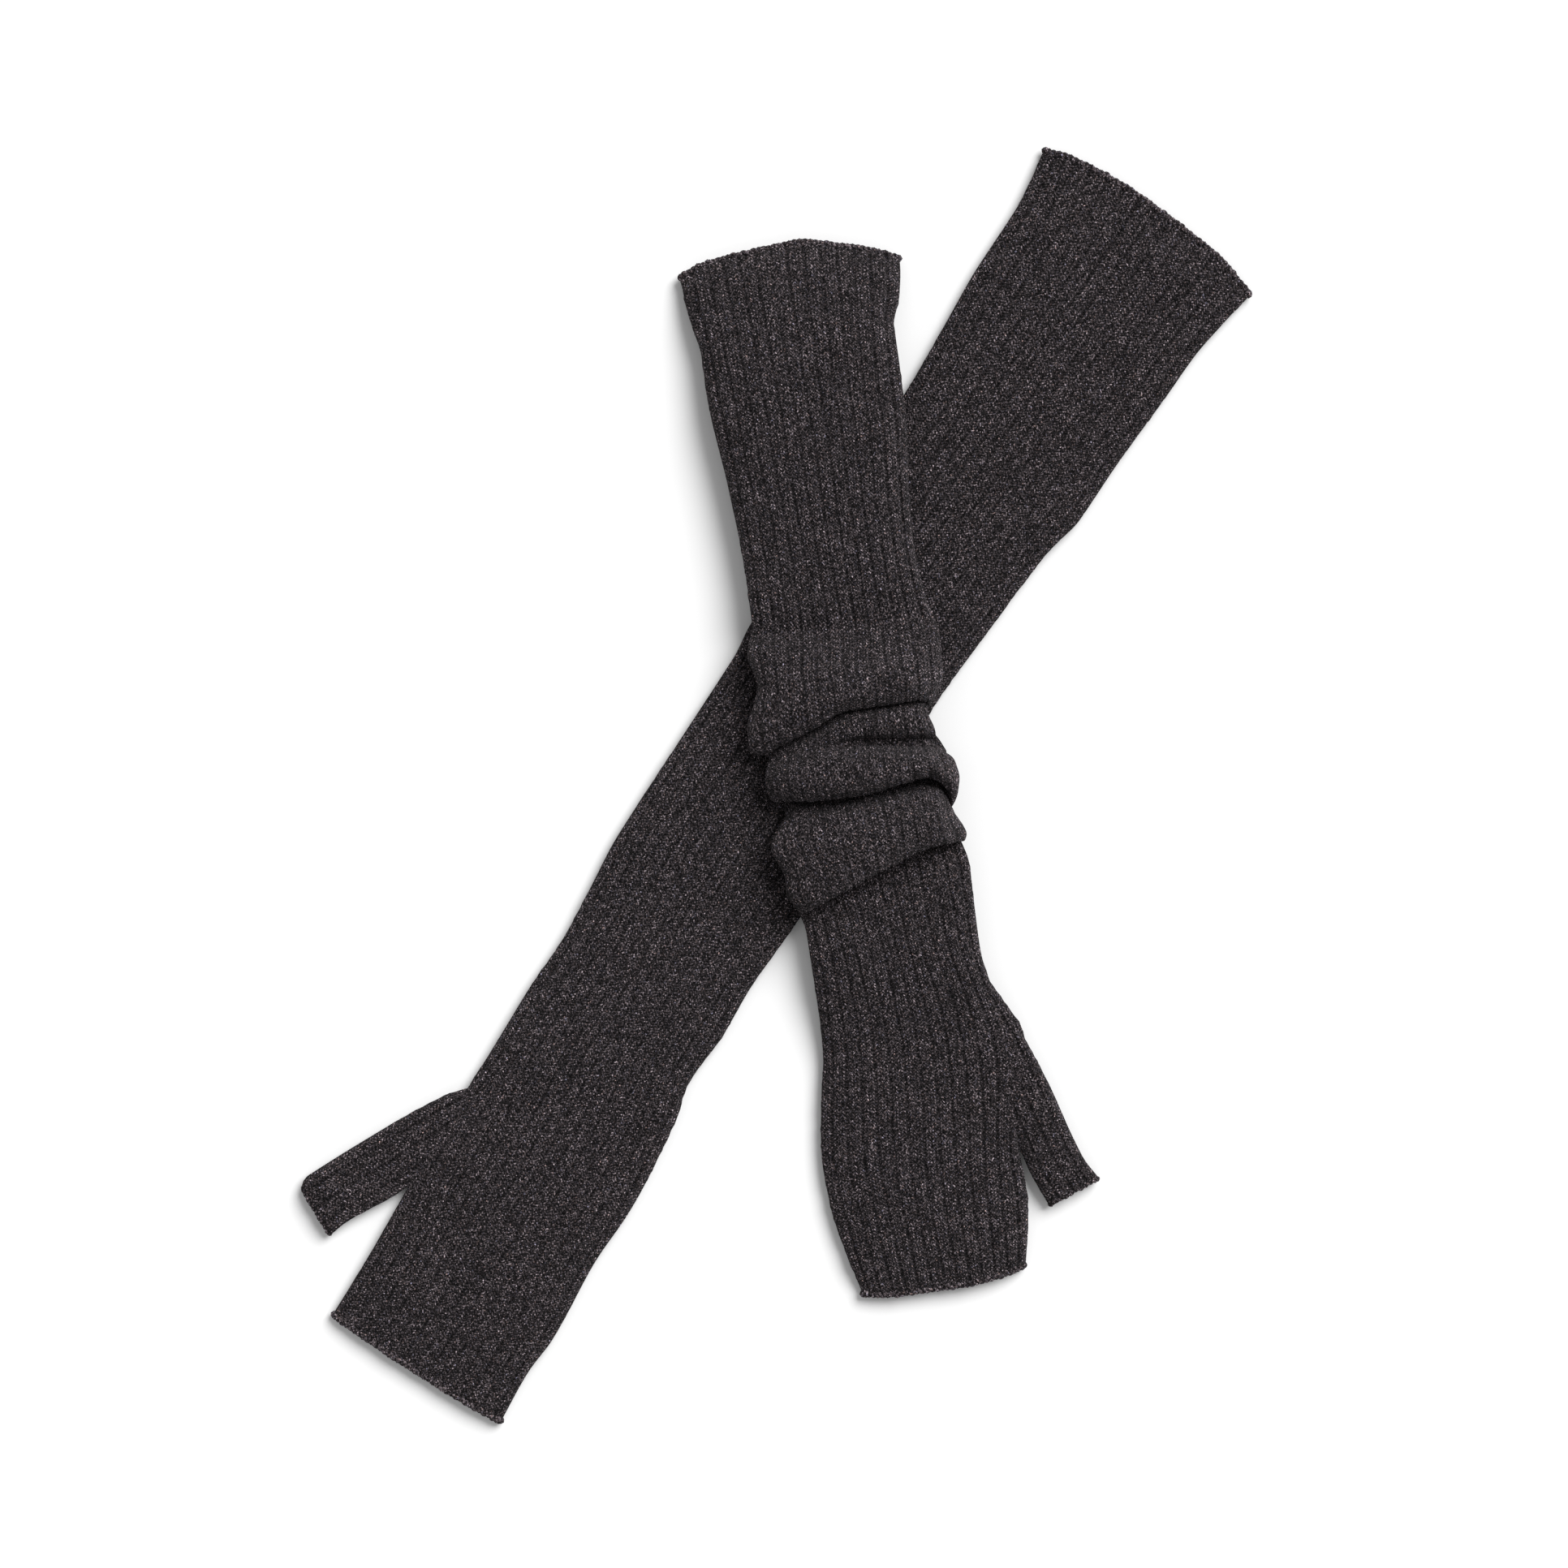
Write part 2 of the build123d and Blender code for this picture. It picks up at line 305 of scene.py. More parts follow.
class Knit:
    """A knitted tube over a smooth grid of points: ribs on its face, a plain inside, and its two rims."""

    def __init__(self, name, points, seed, groove=GROOVE):
        rows, columns = points.shape[:2]
        turn = np.arange(columns) / RIB_COLUMNS
        along = np.cumsum(np.r_[0, np.median(np.linalg.norm(np.diff(points, axis=0), axis=2), axis=1)]) / MM
        lumps = Waves(seed, 14, 60)
        down, around = along[:, None], turn[None, :] * RIB_WIDTH
        depth = groove * (1 + GROOVE_UNEVEN * lumps(down, around))
        patches = smooth(0.4 + Waves(seed + 50, 30, 110)(down, around))
        puckers = PUCKER * patches * Waves(seed + 60, 3.5, 9, 24)(down, around)
        normal = outward(points)
        relief = rib_relief(turn)[None, :] * depth + puckers
        face = points + normal * relief[..., None] * MM
        face[..., 2] = np.maximum(face[..., 2], OFF_FLOOR * MM)
        kept = np.linspace(0, rows - 1, max(3, rows // INNER_STEP)).round().astype(int)
        back = points[kept] - normal[kept] * WALL * MM
        self.piece = tube_mesh(name, face, back, along / COURSE)
        self.rims = [(face[i] + back[j]) / 2 for i, j in ((0, 0), (-1, -1))]
        self.normals = [normal[0], normal[-1]]
        girth = np.linalg.norm(points - np.roll(points, 1, axis=1), axis=2).sum(axis=1)
        self.flat = (float(girth.mean()), float(along[-1] * MM))


# ---------------------------------------------------------------- edges
YARN_UNEVEN = 0.22  # the share by which a chain's yarns swell and thin


def strand(points, radius, sides, reference):
    """Grid of points of a closed yarn of that radius along a closed path."""
    tangent = unit(np.roll(points, -1, axis=0) - np.roll(points, 1, axis=0))
    first = unit(reference - tangent * np.sum(reference * tangent, axis=1, keepdims=True))
    second = np.cross(tangent, first)
    angle = np.linspace(0, math.tau, sides, endpoint=False)[None, :, None]
    return points[:, None] + radius * (np.cos(angle) * first[:, None] + np.sin(angle) * second[:, None])


def yarn_faces(count, sides, samples, first):
    """Faces of a closed yarn's grid of points, numbered from first, and the faces' uv corners."""
    number = np.arange(count * sides).reshape(count, sides) + first
    quads = np.stack(
        [number, np.roll(number, -1, 1), np.roll(number, (-1, -1), (0, 1)), np.roll(number, -1, 0)], -1
    )
    low = np.repeat(np.arange(count)[:, None], sides, 1) / samples
    side = np.repeat(np.arange(sides)[None, :], count, 0) / sides
    corners = [(side, low), (side + 1 / sides, low), (side + 1 / sides, low + 1 / samples)]
    corners.append((side, low + 1 / samples))
    uv = np.stack([np.stack(c, -1) for c in corners], -2)
    return quads.reshape(-1, 4), uv.reshape(-1, 4, 2)


def yarn_pair(name, loop, out, turns, radius, offset, samples=9, sides=7):
    """Two yarns twisted round each other along a closed loop, as a bound-off edge's chain looks. Samples are
    the points of one turn, and sides those round a yarn."""
    count = turns * samples
    at = np.arange(count) / count * len(loop)
    i, part = np.floor(at).astype(int), (at % 1)[:, None]
    path = loop[i] * (1 - part) + loop[(i + 1) % len(loop)] * part
    facing = unit(out[i] * (1 - part) + out[(i + 1) % len(out)] * part)
    tangent = unit(np.roll(path, -1, axis=0) - np.roll(path, 1, axis=0))
    across = unit(np.cross(tangent, facing))
    uneven = Waves(turns, 0.6, 5)
    points, faces, uv = [], [], []
    for which in range(2):
        turn = (math.tau * np.arange(count) / samples + math.pi * which)[:, None]
        radial = np.cos(turn) * facing + np.sin(turn) * across
        swell = 1 + YARN_UNEVEN * uneven(np.arange(count) / samples, 9.0 * which)[:, None]
        grid = strand(path + offset * swell * radial, radius * swell[..., None], sides, radial)
        quads, corners = yarn_faces(count, sides, samples, first=which * count * sides)
        points.append(grid.reshape(-1, 3))
        faces.append(quads)
        uv.append(corners)
    mesh = bpy.data.meshes.new(name)
    mesh.from_pydata(np.concatenate(points).tolist(), [], np.concatenate(faces).tolist())
    add_uv(mesh, np.concatenate(uv))
    return finish_mesh(name, mesh)


def bound_edge(name, knit, end, turns, radius=0.95, offset=0.75):
    """The bound-off chain on one rim of a knitted tube, on the rim's own line smoothed and off the floor."""
    loop = knit.rims[end]
    smoothed = sum(np.roll(loop, k, axis=0) for k in range(-2, 3)) / 5
    smoothed[:, 2] = np.maximum(smoothed[:, 2], 1.3 * (radius + offset) * MM)
    return yarn_pair(name, smoothed, knit.normals[end], turns, radius * MM, offset * MM)


# ---------------------------------------------------------------- body tubes
def stations(first, last):
    """Places along a tube, a mesh row apart."""
    return np.linspace(first, last, int(round((last - first) / ROW)) + 1)


def body_columns(squareness):
    return flat_loop(BODY_RIBS * RIB_COLUMNS, slimness=8, squareness=squareness)


def filled(up, side, along, first, last):
    """The section's ups with the thumb side kept full height between two stations, where the thumb joins."""
    zone = smooth((along - first) / 12) * smooth((last - along) / 8) * smooth((side - 0.55) / 0.3)
    return up * (1 - zone) + np.sign(up) * np.abs(up) ** 0.3 * zone


def section_height(up, base, top, waist_at):
    """Heights round a tube's section, its waist that share of the way from its base to its top."""
    waist = base + (top - base) * waist_at
    return np.where(up > 0, waist + (top - waist) * up, waist + (waist - base) * up)


def wander(seed, along, across):
    """Ribs don't run quite straight: a sideways drift in millimetres."""
    return 0.5 * Waves(seed, 50, 200)(along, across) + 0.3 * Waves(seed + 70, 18, 50)(along, across)


def lower_body():
    side, up = body_columns(7)
    along = stations(0, LOWER.length)[:, None] + 0 * side
    along = LOWER.uneven_ends(along, side[None, :])
    across = LOWER.across(along, side)
    top = through([(0, 6.4), (12, 7.6), (60, 8), (540, 8), (566, 7.4), (578, 6.2)], along)
    top = top + 0.45 * Waves(3, 20, 90)(along, across)
    height = top * (1 + filled(up, side, along, 458, 524)) / 2
    height = np.maximum(height, LOWEST)
    across = across + wander(5, along, across) * inside_edges(side)
    return Knit("lower_body_tube", LOWER.place(along, across, height), seed=11, groove=0.65)


def lower_glove_under(x, y):
    """Height of the lower glove's face under world points in metres, falling away beside it."""
    foot, run = 22, 20  # where the fall ends, beyond the glove's edge, and how long it is
    along, across = LOWER.locate(np.stack([x, y], axis=-1))
    half, middle = LOWER.sides(along)
    return LAY * smooth((half + foot - np.abs(across - middle)) / run)


# The pushed-down sleeve: (along, height) of its upper face, from the sleeve over three overhanging rolls to
# the tuck where it meets the forearm, at five places across. The rolls' lower lips are the rows marked lip.
FOLD_SIDES = (-0.9, -0.42, 0.0, 0.72, 1.0)
FOLDS = [
    # finger side, finger half, middle, thumb half, thumb side
    ((150, 20.5), (150, 21.5), (150, 22), (150, 21), (150, 20)),
    ((156, 19.5), (157, 19.8), (158, 20), (160, 21), (160, 20.5)),
    ((163, 25.5), (165, 25.5), (167, 25), (168, 25), (168, 25)),
    ((177, 29), (178, 31), (178, 32), (180, 31.5), (180, 29)),
    ((197, 30), (191, 33), (188, 34), (188, 33), (188, 29)),
    ((206, 25), (199, 29), (193.5, 29), (193.5, 28), (196, 24)),  # lip
    ((205, 18), (198, 21.5), (192.2, 22), (192.5, 20), (195, 18)),
    ((198, 14), (193, 15), (189, 15), (189, 15), (192, 15)),
    ((203, 15), (198, 20), (193, 23), (193.5, 23), (194, 19)),
    ((207, 19.5), (202.5, 26), (198.5, 28.5), (199.5, 27.5), (200.5, 24)),
    ((210, 23.5), (205.6, 27), (204.3, 27.5), (207, 24.5), (207.5, 21)),
    ((213, 26.5), (208, 27.5), (207.3, 21), (211.5, 12.5), (213, 12)),  # the crease inside the second roll
    ((215, 28.5), (211, 29.5), (209.5, 25), (213.5, 21), (215, 17)),
    ((218, 30), (215, 31.5), (215, 31.5), (218, 30.5), (220.5, 26)),
    ((222, 29), (223, 32.5), (224, 33), (223, 33), (230, 28)),
    ((227, 23.5), (229, 27), (229.5, 27.5), (226.5, 27), (240, 22)),  # lip
    ((226, 18), (227.8, 20), (228.3, 20), (225.3, 19.5), (239, 18)),
    ((220, 14.5), (223, 15), (224, 15), (220, 14), (233, 14)),
    ((227, 15.5), (229.5, 17), (230, 18), (227, 17), (236, 16)),
    ((241, 26), (239, 27), (238, 27.5), (234, 26.5), (241, 22)),
    ((263, 31.5), (256, 33), (252, 33.5), (246, 33), (249, 27)),
    ((274, 26), (268, 28), (262.6, 28), (255, 27.5), (255, 22)),  # lip
    ((273, 17.5), (266.5, 19.5), (261, 20), (253, 19), (253, 18)),
    ((265, 13.5), (260, 14.5), (255, 15), (247, 15), (247, 15)),
    ((256, 13.5), (253, 14.5), (249, 15), (241, 15), (241, 15)),
]


def fold_path(side, at):
    """(along, height) of the bunched upper face, each (rows, columns)."""
    controls = [
        [through([(place, row[k][part]) for k, place in enumerate(FOLD_SIDES)], side) for part in (0, 1)]
        for row in FOLDS
    ]
    flat = rounded_path(np.array(controls).reshape(len(FOLDS), -1), at).reshape(len(at), 2, -1)
    return flat[:, 0], flat[:, 1]


def even_rows(paths, spacing):
    """Fractional indices that step along several paths, none of them by more than the spacing."""
    fine = np.linspace(0, len(paths[0]) - 1, 2000)
    steps = [np.linalg.norm(np.diff(rounded_path(path, fine), axis=0), axis=1) for path in paths]
    length = np.concatenate([[0], np.cumsum(np.max(steps, axis=0))])
    return np.interp(np.linspace(0, length[-1], int(length[-1] / spacing)), length, fine)


BUNCH_START, TUCK = 150, 249  # where the sleeve's folds begin, and where they end underneath
FOLD_ROW = 1.9  # mesh rows, along the folds


def sleeve_underside(along, across, under):
    """Height of the sleeve's underside, which rests on the lower glove where the two cross."""
    base = through([(0, 0.3), (50, 5), (110, LAY), (260, LAY)], under)
    spot = UPPER.place(along, across, 0 * across)
    rest = np.maximum(lower_glove_under(spot[..., 0], spot[..., 1]), base * 0.55)
    return rest * smooth((under + 20) / 60)


def upper_sleeve():
    """The sleeve from the arm opening to the tuck below the third roll."""
    side, up = body_columns(4.5)
    straight = stations(0, BUNCH_START)[:-1]
    top = through([(0, 9), (10, 13), (50, 20.5), (110, 22), (130, 22.3), (150, 22.3)], straight)
    at = even_rows(list(zip(*FOLDS)), FOLD_ROW)
    bunch_along, bunch_top = fold_path(side, at)
    along = np.concatenate([straight[:, None] + 0 * side, bunch_along])
    top = np.concatenate([top[:, None] + 0 * side, bunch_top])
    # Underneath, the fabric runs straight from the sleeve to the tuck. The sides pass from one to the other.
    under = np.concatenate([straight, np.linspace(BUNCH_START, TUCK, len(at))])[:, None]
    topside = smooth((up + 0.95) / 0.55)[None, :]
    along = along * topside + under * (1 - topside)
    along = UPPER.uneven_ends(along, side[None, :])
    # In a crease between two rolls, the tube's edges pull in by up to 3 mm.
    creased = smooth((27 - top) / 10) * smooth((under - 180) / 20)
    across = UPPER.across(along, side) - 3 * creased * np.abs(side) ** 6 * np.sign(side)
    height = section_height(up, sleeve_underside(along, across, under), top, waist_at=0.5)
    loose = 0.8 * Waves(21, 25, 90)(along, across) + 0.5 * Waves(22, 10, 30)(along, across)
    height = height + loose * smooth(up)[None, :]
    into_bunch = smooth((under - BUNCH_START) / 20)
    bunched = into_bunch * (1 - smooth((under - 232) / 14))
    drift = wander(23, along, across) + 1.6 * bunched * Waves(24, 24, 70)(under, across)
    across = across + drift * inside_edges(side)
    groove = GROOVE * (1 - 0.45 * into_bunch)
    points = UPPER.place(along, across, np.maximum(height, 0.3))
    return Knit("upper_sleeve_tube", points, seed=12, groove=groove)


def upper_body():
    """The forearm, which starts inside the sleeve's last roll, the wrist and the hand."""
    side, up = body_columns(5)
    along = stations(238, UPPER.length)[:, None] + 0 * side
    along = UPPER.uneven_ends(along, side[None, :])
    across = UPPER.across(along, side * (1 - 0.1 * smooth((268 - along) / 22)))
    top = through(
        [(238, 12), (250, 14), (258, 15), (268, 16.2), (290, 18), (320, 13.5), (345, 10.5), (380, 10.2)]
        + [(425, 10), (438, 7.5)],
        along,
    )
    base = through([(238, LAY + 1), (262, LAY + 1), (276, LAY), (300, 7), (335, 0.6), (350, 0.3)], along)
    up = filled(up, side, along, 345, 390)
    height = section_height(up, base, top, waist_at=0.45)
    loose = 0.6 * Waves(31, 22, 90)(along, across)
    height = height + loose * smooth(up)
    across = across + wander(33, along, across) * inside_edges(side)
    return Knit("upper_body_tube", UPPER.place(along, across, np.maximum(height, LOWEST)), seed=13)


# ---------------------------------------------------------------- thumbs
BURIED = 1.5  # how far inside the palm's two faces the thumb's root runs
JOINING_DIP = 0.45  # how far the row of stitches picked up round the thumb's root sinks


class Thumb:
    """A thumb tube's own axes: out runs from the joint's pivot to the mouth, aside towards the thumb's
    outer edge."""

    def __init__(self, glove, outer, inner, top, seed):
        self.glove, self.outer, self.inner, self.top, self.seed = glove, outer, inner, top, seed
        joint = JOINTS[f"{glove.name}_thumb_swing"]
        mouth = MOUNTS[f"{glove.name}_thumb_opening"]
        self.pivot = np.array(glove.locate(joint["pos_m"]))
        self.height = joint["pos_m"][2]
        axis = np.array(mouth["axis"][:2])
        self.out = np.array([axis @ glove.axis, axis @ glove.cross])
        self.aside = np.array([-self.out[1], self.out[0]])

    def on_glove(self, out, aside):
        """(along, across) on the glove of a place on the thumb."""
        return (self.pivot[k] + out * self.out[k] + aside * self.aside[k] for k in (0, 1))

    def point(self, out):
        """A world point on the thumb's own line."""
        along, across = self.on_glove(np.array(float(out)), np.array(0.0))
        x, y, _ = self.glove.place(along, across, np.array(0.0))
        return (x, y, self.height)

    def knit(self, name):
        """The thumb tube, whose root runs buried inside the palm and comes out over the palm's edge."""
        side, up = flat_loop(THUMB_RIBS * RIB_COLUMNS, slimness=3, squareness=4)
        first, last = self.outer[0][0], self.outer[-1][0]
        out = stations(first, last)[:, None] + 0 * side
        half = (through(self.outer, out) - through(self.inner, out)) / 2
        aside = (through(self.outer, out) + through(self.inner, out)) / 2 + half * side
        along, across = self.on_glove(out, aside)
        palm_edge = through(self.glove.thumb_side, along)
        buried = smooth((palm_edge - 2 - across) / 9) * smooth((4 - out) / 12)
        top = through(self.top, out) - BURIED * buried
        base = 0.3 + BURIED * buried
        height = base + (top - base) * (1 + up) / 2
        height = height + 0.3 * Waves(self.seed, 12, 40)(along, across) * smooth(up)
        joining_row = np.exp(-((out / COURSE) ** 2)) * (1 - buried)
        height = height - JOINING_DIP * joining_row * up
        return Knit(name, self.glove.place(along, across, np.maximum(height, LOWEST)), self.seed)


LOWER_THUMB = Thumb(
    LOWER,
    outer=[(-50, 12), (-38, 15.1), (-12, 16.6), (8, 16.8), (30, 16.5), (34, 13.6)],
    inner=[(-50, -4), (-25, -9), (2, -10.7), (24, -9.6), (34, -10.7)],
    top=[(-50, 8), (20, 8), (34, 6.8)],
    seed=41,
)
UPPER_THUMB = Thumb(
    UPPER,
    outer=[(-44, 12.6), (-27, 12.9), (-11, 12.2), (6, 10.8), (17, 10.4), (28.5, 12.1)],
    inner=[(-44, -6), (-20, -10.5), (0, -12), (14, -13.2), (28.5, -12.8)],
    top=[(-44, 10), (0, 9.8), (20, 9.4), (28.5, 7.6)],
    seed=42,
)


# ---------------------------------------------------------------- materials
class Nodes:
    """Short forms for building a material's nodes."""

    def __init__(self, name):
        self.material = bpy.data.materials.new(name)
        self.material.use_nodes = True
        self.tree = self.material.node_tree
        self.shader = self.tree.nodes["Principled BSDF"]

    def add(self, kind, **inputs):
        settings = {k: inputs.pop(k) for k in list(inputs) if k[0].islower()}
        node = self.tree.nodes.new(kind)
        for key, value in settings.items():
            setattr(node, key, value)
        for key, value in inputs.items():
            self.put(node.inputs[key.replace("_", " ")], value)
        return node

    def put(self, socket, value):
        if isinstance(value, bpy.types.NodeSocket):
            self.tree.links.new(value, socket)
        else:
            socket.default_value = value

    def math(self, operation, a, b=0.0, c=0.0):
        node = self.tree.nodes.new("ShaderNodeMath")
        node.operation = operation
        for socket, value in zip(node.inputs, (a, b, c)):
            self.put(socket, value)
        return node.outputs[0]

    def noise(self, vector, scale, detail=2.0, roughness=0.5):
        node = self.add("ShaderNodeTexNoise", Vector=vector, Scale=scale, Detail=detail, Roughness=roughness)
        return node.outputs["Fac"]

    def ramp(self, value, stops):
        node = self.add("ShaderNodeValToRGB", Fac=value)
        elements = node.color_ramp.elements
        while len(elements) < len(stops):
            elements.new(0.5)
        for element, (at, colour) in zip(elements, stops):
            element.position, element.color = at, (*colour, 1)
        return node.outputs["Color"]

    def mix(self, share, a, b, blend="MIX"):
        node = self.tree.nodes.new("ShaderNodeMix")
        node.data_type, node.blend_type = "RGBA", blend
        self.put(node.inputs["Factor"], share)
        self.put(node.inputs[6], a)
        self.put(node.inputs[7], b)
        return node.outputs[2]


# How dark the wool's fibres are: the share of the fibres that is darker than each tone.
MARL = ((0, 0.001), (0.25, 0.0085), (0.5, 0.027), (0.75, 0.065), (0.93, 0.138), (1, 0.3))
MARL_TINT = (1, 0.84, 0.9)
TUFT = 0.0005  # metres from one shade of fibre to the next
FIBRE_SCALE = 2600  # of the noise that stands for single fibres
EDGE_YARN_PAINTED_LIGHT = 1.35  # painted light: the bound-off yarns lie open to the light, so their colour is painted this much paler


def grey(tone):
    return (tone, tone, tone)


def fibre_noise(n, where):
    return n.noise(where, FIBRE_SCALE, detail=3, roughness=0.7)


def heather(n, cell, where):
    """Charcoal marl: dark and pale fibres spun together, a few of them brown or blue."""
    fibres = n.add("ShaderNodeTexVoronoi", Vector=where, Scale=1 / TUFT).outputs["Color"]
    tuft = n.add("ShaderNodeSeparateColor", Color=fibres)
    base = n.ramp(tuft.outputs["Red"], [(at, [tone * t for t in MARL_TINT]) for at, tone in MARL])
    shade = n.add("ShaderNodeTexWhiteNoise", noise_dimensions="2D", Vector=cell).outputs["Value"]
    base = n.mix(1.0, base, n.ramp(shade, [(0.0, grey(0.7)), (1.0, grey(1.3))]), "MULTIPLY")
    broad = n.noise(where, 45, detail=3)
    patches = n.ramp(broad, [(0.3, (0.94, 0.94, 0.95)), (0.7, (1.06, 1.05, 1.05))])
    base = n.mix(1.0, base, patches, "MULTIPLY")
    hue = n.ramp(
        tuft.outputs["Green"],
        [(0.0, (0.8, 0.92, 1.2)), (0.1, grey(1)), (0.9, grey(1)), (1.0, (1.2, 0.98, 0.84))],
    )
    return n.mix(1.0, base, hue, "MULTIPLY")


def wool(n, colour, height, distance):
    """Rough fibrous cloth of a colour, its height raised as a bump over that distance in metres."""
    bump = n.add("ShaderNodeBump", Height=height, Distance=distance, Strength=1.0)
    n.put(n.shader.inputs["Base Color"], colour)
    n.put(n.shader.inputs["Normal"], bump.outputs["Normal"])
    n.shader.inputs["Roughness"].default_value = 0.92
    n.shader.inputs["Specular IOR Level"].default_value = 0.08
    n.shader.inputs["Sheen Weight"].default_value = 0.06
    n.shader.inputs["Sheen Roughness"].default_value = 0.45
    n.shader.inputs["Sheen Tint"].default_value = (0.8, 0.78, 0.8, 1)
    return n.material


PURL_HALF = 0.09  # half a purl column's share of a rib, which the two knit wales crowd together
PURL_HEIGHT = 0.46  # of a purl bump, beside a knit stitch's 1
LEG_SLANT = 1.9  # courses that a stitch's leg would climb over a whole wale's width


def stitches(n, split, where):
    """The stitches' height, 0 to 1, and a vector that stays the same over one leg of one stitch."""
    course = n.math("MULTIPLY_ADD", n.noise(where, 120), 1.2, split.outputs["Y"])
    from_middle = n.math("ABSOLUTE", n.math("SUBTRACT", n.math("FRACT", split.outputs["X"]), 0.5))
    from_purl = n.math("SUBTRACT", 0.5, from_middle)
    wale = n.math("DIVIDE", n.math("SUBTRACT", from_purl, PURL_HALF), 0.5 - PURL_HALF)  # 0 to 1 over a wale
    purl = n.math("LESS_THAN", wale, 0.0)
    leg = n.math("ABSOLUTE", n.math("SUBTRACT", wale, 0.5))  # 0 in the wale's middle, 0.5 at its edges
    slant = n.math("MULTIPLY", leg, n.math("MULTIPLY_ADD", purl, -LEG_SLANT, LEG_SLANT))
    stitch = n.math("SUBTRACT", course, slant)
    bulge = n.math("SINE", n.math("MULTIPLY", n.math("FRACT", stitch), math.pi))
    legs = n.math("POWER", n.math("SINE", n.math("MULTIPLY", leg, math.tau)), 0.5)
    knit_height = n.math("POWER", n.math("MULTIPLY", bulge, legs), 0.7)
    purl_height = n.math("MULTIPLY", n.math("POWER", bulge, 0.8), PURL_HEIGHT)
    loops = n.math("MULTIPLY_ADD", purl, n.math("SUBTRACT", purl_height, knit_height), knit_height)
    half_rib = n.math("FLOOR", n.math("MULTIPLY", split.outputs["X"], 2.0))
    half_wale = n.math("FLOOR", n.math("MULTIPLY", wale, 2.0))
    column = n.math("MULTIPLY_ADD", half_rib, 3.0, half_wale)
    cell = n.add("ShaderNodeCombineXYZ", X=column, Y=n.math("FLOOR", stitch)).outputs["Vector"]
    return loops, cell


def knit_material(name):
    """2x2 rib: two wales of V stitches and one narrow sunk column of purl bumps in each rib."""
    n = Nodes(name)
    uv = n.add("ShaderNodeUVMap", uv_map="Stitches").outputs["UV"]
    where = n.add("ShaderNodeTexCoord").outputs["Object"]
    loops, cell = stitches(n, n.add("ShaderNodeSeparateXYZ", Vector=uv), where)
    fibres = fibre_noise(n, where)
    height = n.math("MULTIPLY_ADD", fibres, 0.7, loops)
    # Painted shade and highlight: the colour darkens in the gaps between stitch legs and in the sunk purl
    # columns, and brightens on the legs' crests, following the stitches' height.
    stitch_shade_and_highlight = n.ramp(loops, [(0.0, grey(0.06)), (0.5, grey(0.8)), (1.0, grey(1.65))])
    # Partly fibre flecks, partly painted shade and highlight: the fibre noise that also raises the bump
    # darkens the colour where it is low and lightens it where it is high.
    fibre_flecks_and_shade = n.ramp(fibres, [(0.32, grey(0.12)), (0.5, grey(0.9)), (0.68, grey(2.2))])
    colour = n.mix(1.0, heather(n, cell, where), stitch_shade_and_highlight, "MULTIPLY")
    colour = n.mix(1.0, colour, fibre_flecks_and_shade, "MULTIPLY")
    return wool(n, colour, height, 0.0007)


def yarn_material(name):
    """Twisted wool yarn, its plies running round the strand."""
    n = Nodes(name)
    uv = n.add("ShaderNodeUVMap", uv_map="Stitches").outputs["UV"]
    where = n.add("ShaderNodeTexCoord").outputs["Object"]
    split = n.add("ShaderNodeSeparateXYZ", Vector=uv)
    ply = n.math("FRACT", n.math("MULTIPLY_ADD", split.outputs["Y"], 3.0, split.outputs["X"]))
    height = n.math("SINE", n.math("MULTIPLY", ply, math.pi))
    height = n.math("MULTIPLY_ADD", fibre_noise(n, where), 0.8, height)
    cell = n.add(
        "ShaderNodeCombineXYZ",
        X=n.math("FLOOR", n.math("MULTIPLY", split.outputs["X"], 2.0)),
        Y=n.math("FLOOR", n.math("MULTIPLY", split.outputs["Y"], 3.0)),
    ).outputs["Vector"]
    # Painted light: the yarns' colour is made paler, since they lie open to the light.
    colour = n.mix(1.0, heather(n, cell, where), (*grey(EDGE_YARN_PAINTED_LIGHT), 1), "MULTIPLY")
    return wool(n, colour, height, 0.0003)


# ---------------------------------------------------------------- assembly
def dress(piece, material, slot, *nodes):
    """Gives a piece its material and hides the CAD nodes that it stands for. The slot is not used."""
    piece.data.materials.append(material)
    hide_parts(*nodes)
    return piece


def glove_point(glove, along):
    """A world point on a glove's own line, on the floor."""
    x, y, z = glove.place(np.array(float(along)), np.array(0.0), np.array(0.0))
    return (x, y, z)


def chain(name, knit, rim, yarn, rides, node, **size):
    """A bound-off edge that rides one body, and stands for one CAD node."""
    piece = dress(bound_edge(name, knit, rim, **size), yarn, "bound_edge", node)
    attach(piece, rides)
    return piece


def build_lower_body(knit, yarn):
    body = lower_body()
    dress(
        body.piece, knit, "lower_rib_knit",
        "lower_sleeve_top", "lower_sleeve_middle", "lower_forearm", "lower_wrist", "lower_palm",
        "lower_hand_cuff",
    )
    wrist = glove_point(LOWER, 408), glove_point(LOWER, 452)
    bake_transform(body.piece)
    arm = chain("lower_arm_chain", body, FIRST_RIM, yarn, "lower_arm", "lower_arm_edge", turns=46)
    hand = chain("lower_hand_chain", body, LAST_RIM, yarn, "lower_hand", "lower_hand_edge", turns=40)


def build_upper_sleeve(knit, yarn):
    sleeve = upper_sleeve()
    dress(
        sleeve.piece, knit, "upper_rib_knit",
        "upper_sleeve_top", "upper_sleeve_middle", "upper_fold_a", "upper_fold_b", "upper_fold_c",
    )
    bunch = glove_point(UPPER, 152), glove_point(UPPER, 242)
    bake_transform(sleeve.piece)
    arm = chain("upper_arm_chain", sleeve, FIRST_RIM, yarn, "upper_arm", "upper_arm_edge", turns=44)


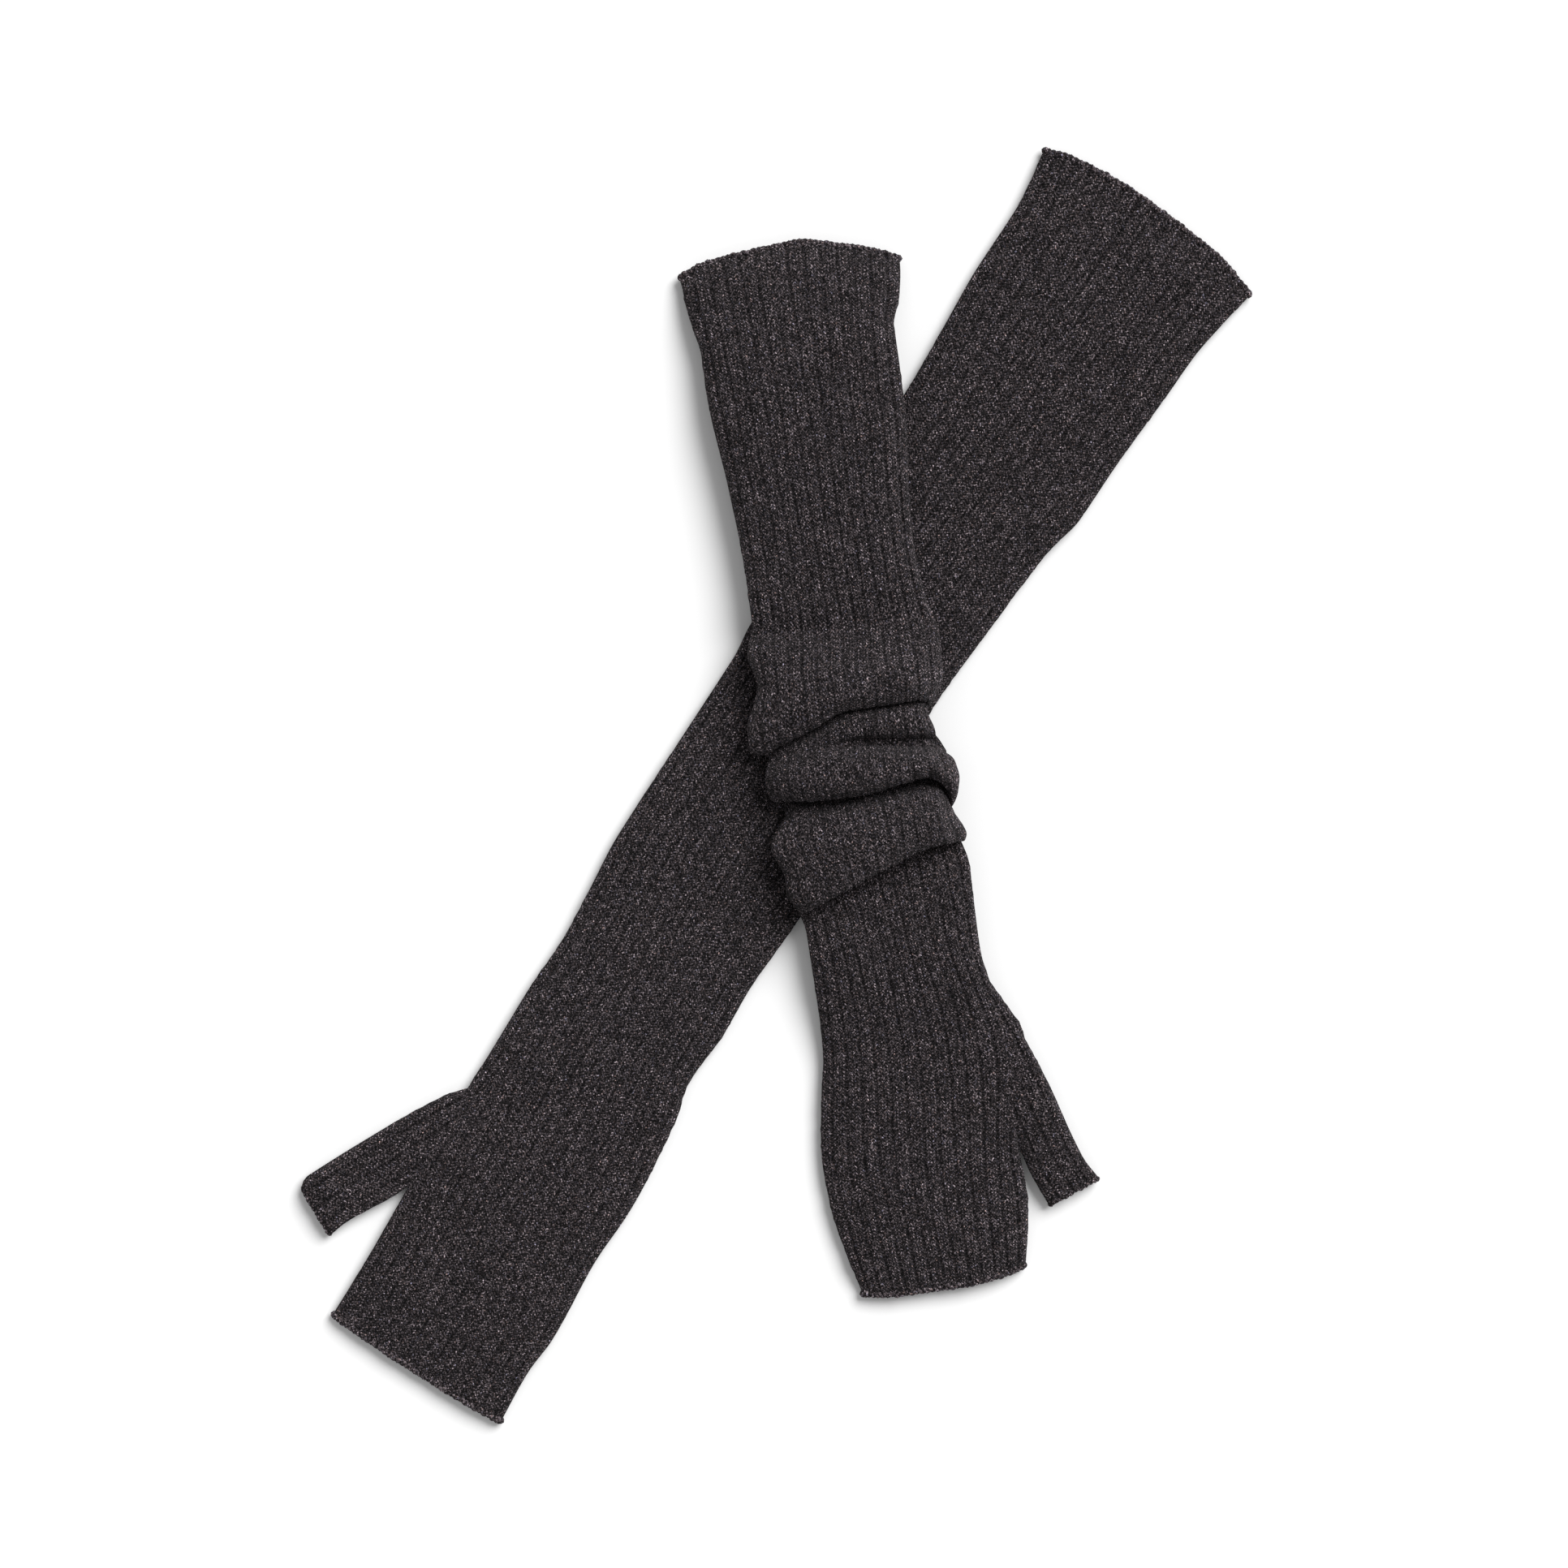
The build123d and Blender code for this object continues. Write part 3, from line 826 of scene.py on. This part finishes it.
def build_upper_body(knit, yarn):
    body = upper_body()
    dress(
        body.piece, knit, "upper_rib_knit",
        "upper_forearm", "upper_wrist", "upper_palm", "upper_hand_cuff",
    )
    wrist = glove_point(UPPER, 298), glove_point(UPPER, 340)
    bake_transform(body.piece)
    hand = chain("upper_hand_chain", body, LAST_RIM, yarn, "upper_hand", "upper_hand_edge", turns=36)


def build_thumb(thumb, knit, yarn):
    side = thumb.glove.name
    tube = thumb.knit(f"{side}_thumb_knit")
    dress(
        tube.piece, knit, f"{side}_rib_knit",
        f"{side}_thumb_gusset", f"{side}_thumb", f"{side}_thumb_seam",
    )
    root = thumb.point(-9), thumb.point(9)
    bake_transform(tube.piece)
    size = {"turns": 12, "radius": 0.65, "offset": 0.55}
    rides, node = f"{side}_thumb_tube", f"{side}_thumb_edge"
    chain(f"{side}_thumb_chain", tube, LAST_RIM, yarn, rides, node, **size)


def build_gloves():
    lower_knit, upper_knit = knit_material("lower_rib_knit"), knit_material("upper_rib_knit")
    yarn = yarn_material("bound_edge")
    build_lower_body(lower_knit, yarn)
    build_upper_sleeve(upper_knit, yarn)
    build_upper_body(upper_knit, yarn)
    build_thumb(LOWER_THUMB, lower_knit, yarn)
    build_thumb(UPPER_THUMB, upper_knit, yarn)


# ---------------------------------------------------------------- floor, light and camera
FLOOR_SIZE = 40  # metres, so that no view from low down sees past it
VIEW_WIDTH, VIEW_HEIGHT = 0.6662, 0.006  # metres across the picture, at that height over the floor
VIEW_MIDDLE = (0.0026, 0.0014)
LENS, SENSOR = 100, 36


def build_floor():
    bpy.ops.mesh.primitive_plane_add(size=FLOOR_SIZE, location=(0, 0, 0))
    floor = bpy.context.object
    floor.name = "floor"
    n = Nodes("floor_white")
    n.shader.inputs["Base Color"].default_value = (0.9, 0.9, 0.9, 1)
    n.shader.inputs["Roughness"].default_value = 0.8
    floor.data.materials.append(n.material)


def build_light():
    """A white sky, and one broad soft light from the picture's upper right, 45 degrees up."""
    world = bpy.data.worlds.new("studio")
    world.use_nodes = True
    sky = world.node_tree.nodes["Background"]
    sky.inputs["Color"].default_value = (1, 1, 1, 1)
    sky.inputs["Strength"].default_value = 0.44
    bpy.context.scene.world = world
    lamp = bpy.data.lights.new("soft_key", "SUN")
    lamp.energy, lamp.angle = 3.4, math.radians(40)
    key = bpy.data.objects.new("soft_key", lamp)
    key.rotation_euler = (0, math.radians(45), math.radians(47))
    bpy.context.scene.collection.objects.link(key)


def build_camera():
    """Straight above, wide enough for the pair with its white margin."""
    data = bpy.data.cameras.new("camera")
    data.lens, data.sensor_width = LENS, SENSOR
    data.clip_end = 20
    camera = bpy.data.objects.new("camera", data)
    camera.location = (*VIEW_MIDDLE, VIEW_HEIGHT + VIEW_WIDTH * LENS / SENSOR)
    bpy.context.scene.collection.objects.link(camera)
    bpy.context.scene.camera = camera


build_gloves()
build_floor()
build_light()
build_camera()
bpy.context.scene.view_settings.view_transform = "Standard"
